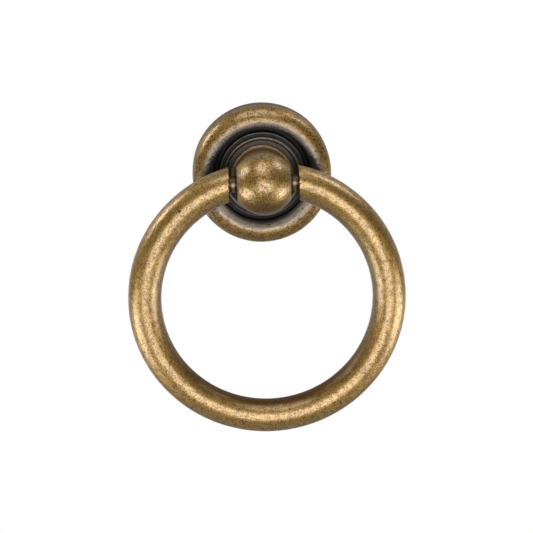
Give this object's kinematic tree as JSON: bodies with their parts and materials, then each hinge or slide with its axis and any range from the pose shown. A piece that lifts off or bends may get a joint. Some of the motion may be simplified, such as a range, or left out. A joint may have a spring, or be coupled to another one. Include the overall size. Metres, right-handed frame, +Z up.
{
  "type": "ring pull handle",
  "caption": "Ring pull: a round turned rose carries a ball-headed post, and an open round-bar ring hangs from pins in the ball and swings outward to be gripped.",
  "frame": {"origin": "where the screw's axis meets the door, at the centre of the rose's back", "axes": "-Y stands out of the door towards the user, +X to the user's right, +Z up, with the ring hanging towards -Z"},
  "size_m": [0.05, 0.018, 0.0587],
  "materials": {
    "antique_brass": "satin antique, rubbed bright on high places and dark in the recesses"
  },
  "bodies": {
    "base": {"rose": "antique_brass", "ball_post": "antique_brass"},
    "ring": {"pull_ring": "antique_brass"}
  },
  "joints": [
    {"name": "ring_swing", "type": "hinge", "parent": "base", "child": "ring", "pos_m": [0, -0.0123, 0], "axis": [-1, 0, 0], "range_deg": [-12.1, 192.1]}
  ]
}
